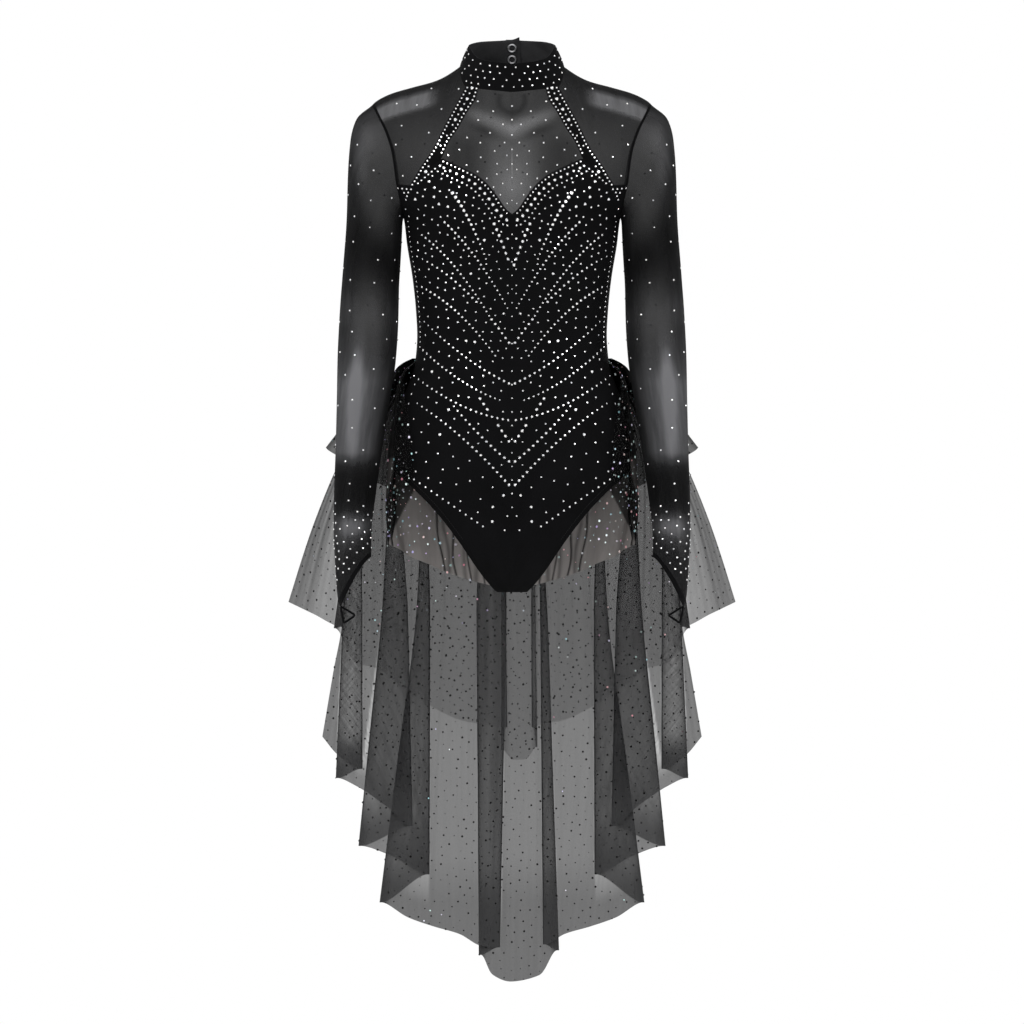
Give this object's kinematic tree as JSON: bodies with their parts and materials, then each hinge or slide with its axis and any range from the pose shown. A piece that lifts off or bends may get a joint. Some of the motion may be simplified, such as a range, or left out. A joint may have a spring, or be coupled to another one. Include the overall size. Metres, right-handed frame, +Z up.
{
  "type": "figure skating dress",
  "caption": "Long-sleeved figure skating dress with a high collar, halter straps over mesh shoulders, a sweetheart bodice and brief, and a high-low tiered tulle skirt.",
  "frame": {"origin": "midway between the two points where the neck seam meets the shoulder seams, where the wearer's shoulders hold the dress", "axes": "+X to the wearer's left, +Y to the wearer's back, +Z up"},
  "size_m": [0.5872, 0.3193, 1.2444],
  "materials": {
    "knit": "opaque black stretch knit, matte",
    "mesh": "fine black stretch mesh, half sheer",
    "tulle": "black tulle, sheer",
    "metal": "polished nickel snaps"
  },
  "bodies": {
    "root": {"yoke_front": "mesh", "halter_strap_left": "knit", "halter_strap_right": "knit", "shoulder_mesh_left": "mesh", "shoulder_mesh_right": "mesh", "yoke_back": "mesh", "body_front": "knit", "body_back": "knit", "collar": "knit", "snap_ring_1": "metal", "snap_ring_2": "metal", "snap_ring_3": "metal", "snap_cap_1": "metal", "snap_cap_2": "metal", "snap_cap_3": "metal", "sleeve_left": "mesh", "sleeve_right": "mesh", "cuff_edge_left": "knit", "cuff_edge_right": "knit", "finger_loop_left": "knit", "finger_loop_right": "knit", "skirt_long_tier": "tulle", "skirt_middle_tier": "tulle", "skirt_inner_ruffle": "tulle", "skirt_top_frill": "tulle"}
  },
  "joints": []
}
